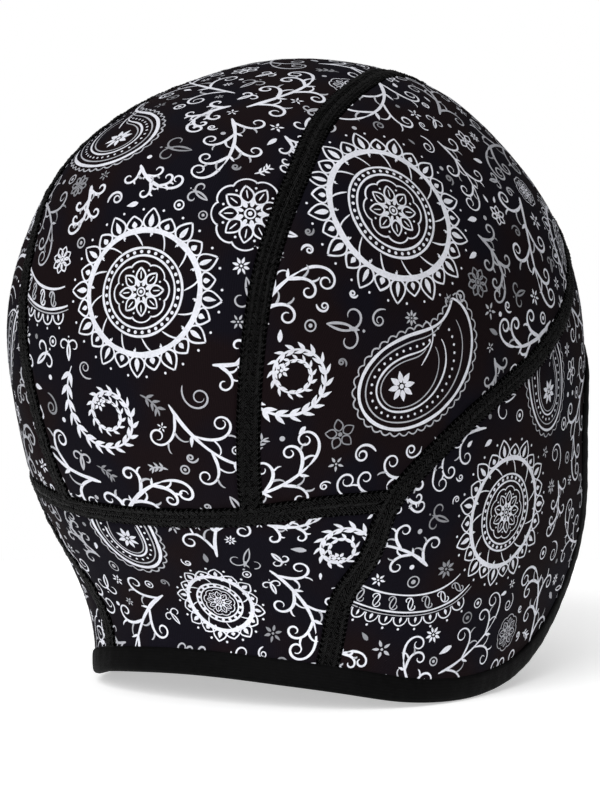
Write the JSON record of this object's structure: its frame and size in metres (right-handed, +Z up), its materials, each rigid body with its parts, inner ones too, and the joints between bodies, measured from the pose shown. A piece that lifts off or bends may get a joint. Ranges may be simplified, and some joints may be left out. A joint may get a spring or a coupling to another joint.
{
  "type": "cycling skull cap with ear covers",
  "caption": "Close-fitting stretch cloth cap without a peak: centre strip, side panels, ear covers and nape panel joined by raised flat seams, with a folded binding round the edge",
  "frame": {"origin": "inner face of the crown top, where the cap sits on a head", "axes": "+Z up; the wearer faces -Y and the back of the head is +Y; the wearer's right is -X; the cap is symmetric in X"},
  "size_m": [0.1622, 0.1988, 0.192],
  "materials": {
    "printed_cloth": "black brushed stretch knit with an off-white line print",
    "seam_thread": "black overlocked flat seam thread",
    "binding_cloth": "black smooth elastic binding"
  },
  "bodies": {
    "root": {"crown_strip": "printed_cloth", "side_panel_right": "printed_cloth", "side_panel_left": "printed_cloth", "ear_panel_right": "printed_cloth", "ear_panel_left": "printed_cloth", "nape_panel": "printed_cloth", "seam_strip_right": "seam_thread", "seam_strip_left": "seam_thread", "seam_nape": "seam_thread", "seam_ear_right": "seam_thread", "seam_ear_left": "seam_thread", "edge_binding": "binding_cloth"}
  },
  "joints": []
}
